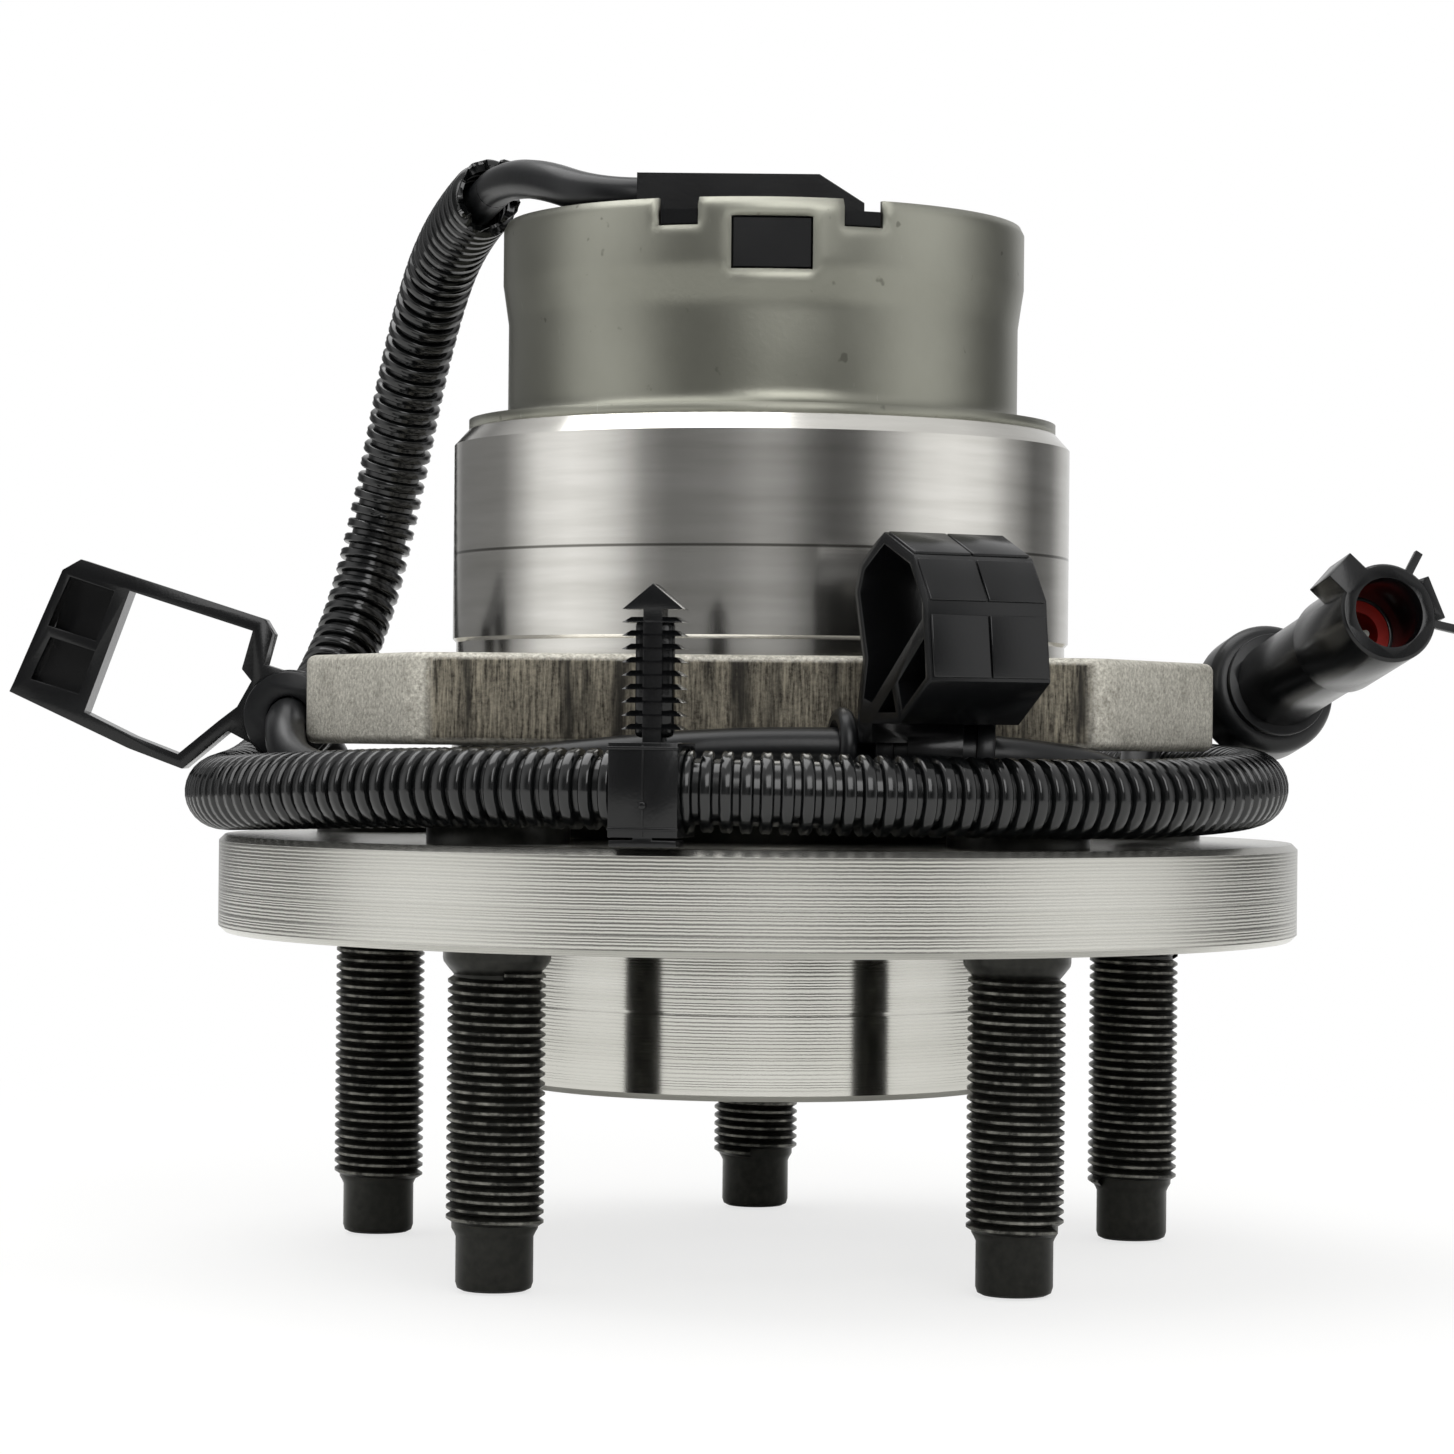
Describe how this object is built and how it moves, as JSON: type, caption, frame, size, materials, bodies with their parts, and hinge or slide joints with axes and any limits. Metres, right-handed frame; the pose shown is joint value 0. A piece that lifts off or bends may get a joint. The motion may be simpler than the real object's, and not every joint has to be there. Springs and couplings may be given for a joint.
{
  "type": "wheel hub bearing",
  "caption": "Bolt-on wheel hub bearing: studded wheel flange on a splined spindle, double-row ball bearing, bolt-on outer ring and a speed sensor with its harness",
  "frame": {"origin": "centre of the wheel flange's outboard face, on the wheel axis", "axes": "+Z is the wheel axis and points inboard, to the knuckle; the wheel studs point along -Z; -Y is the side the picture shows; +X is to the right in it"},
  "size_m": [0.1971, 0.1557, 0.1534],
  "materials": {
    "turned_steel": "bright turned steel with fine tool lines",
    "stud_steel": "black phosphate on steel, bright thread crests",
    "ground_steel": "ground bearing steel",
    "bearing_balls": "polished bearing steel",
    "cage_plastic": "glass-filled polyamide, natural",
    "ring_steel": "forged steel, satin ground on the round body",
    "seal_steel": "pressed sheet steel",
    "seal_rubber": "moulded nitrile rubber",
    "cap_steel": "matte stamped steel with smudges",
    "sensor_plastic": "black moulded polyamide",
    "coil_copper": "enamelled copper winding",
    "tone_steel": "stamped steel",
    "cable_jacket": "dark rubber cable jacket",
    "conduit_plastic": "black corrugated conduit",
    "grommet_rubber": "moulded rubber",
    "clip_plastic": "black polyamide, satin",
    "boot_rubber": "moulded rubber boot",
    "connector_plastic": "black moulded polyamide",
    "connector_seal_rubber": "dark red silicone",
    "contact_tin": "tinned contact pins"
  },
  "bodies": {
    "outer": {"outer_ring": "ring_steel", "outboard_seal_case": "seal_steel", "outboard_seal_lip": "seal_rubber", "inboard_seal_case": "seal_steel", "inboard_seal_lip": "seal_rubber", "sensor_cap": "cap_steel", "sensor_ring": "sensor_plastic", "sensor_coil": "coil_copper", "lead_cable": "cable_jacket", "conduit": "conduit_plastic", "harness_cable": "cable_jacket", "left_grommet": "grommet_rubber", "left_clip": "clip_plastic", "middle_grommet": "grommet_rubber", "middle_clip": "clip_plastic", "push_mount_clip": "clip_plastic", "connector_boot": "boot_rubber", "connector_housing": "connector_plastic", "connector_seal": "connector_seal_rubber", "contact_pins": "contact_tin"},
    "hub": {"hub_spindle": "turned_steel", "wheel_studs": "stud_steel", "inner_ring": "ground_steel", "tone_ring": "tone_steel"},
    "outboard_row": {"outboard_cage": "cage_plastic", "outboard_balls": "bearing_balls"},
    "inboard_row": {"inboard_cage": "cage_plastic", "inboard_balls": "bearing_balls"}
  },
  "joints": [
    {"name": "hub_spin", "type": "hinge", "parent": "outer", "child": "hub", "pos_m": [0, 0, 0], "axis": [0, 0, 1], "continuous": true},
    {"name": "outboard_row_orbit", "type": "hinge", "parent": "outer", "child": "outboard_row", "pos_m": [0, 0, 0], "axis": [0, 0, 1], "continuous": true},
    {"name": "inboard_row_orbit", "type": "hinge", "parent": "outer", "child": "inboard_row", "pos_m": [0, 0, 0], "axis": [0, 0, 1], "continuous": true}
  ],
  "couplings": [
    {"joint": "outboard_row_orbit", "follows": "hub_spin", "ratio": 0.416},
    {"joint": "inboard_row_orbit", "follows": "hub_spin", "ratio": 0.416}
  ]
}
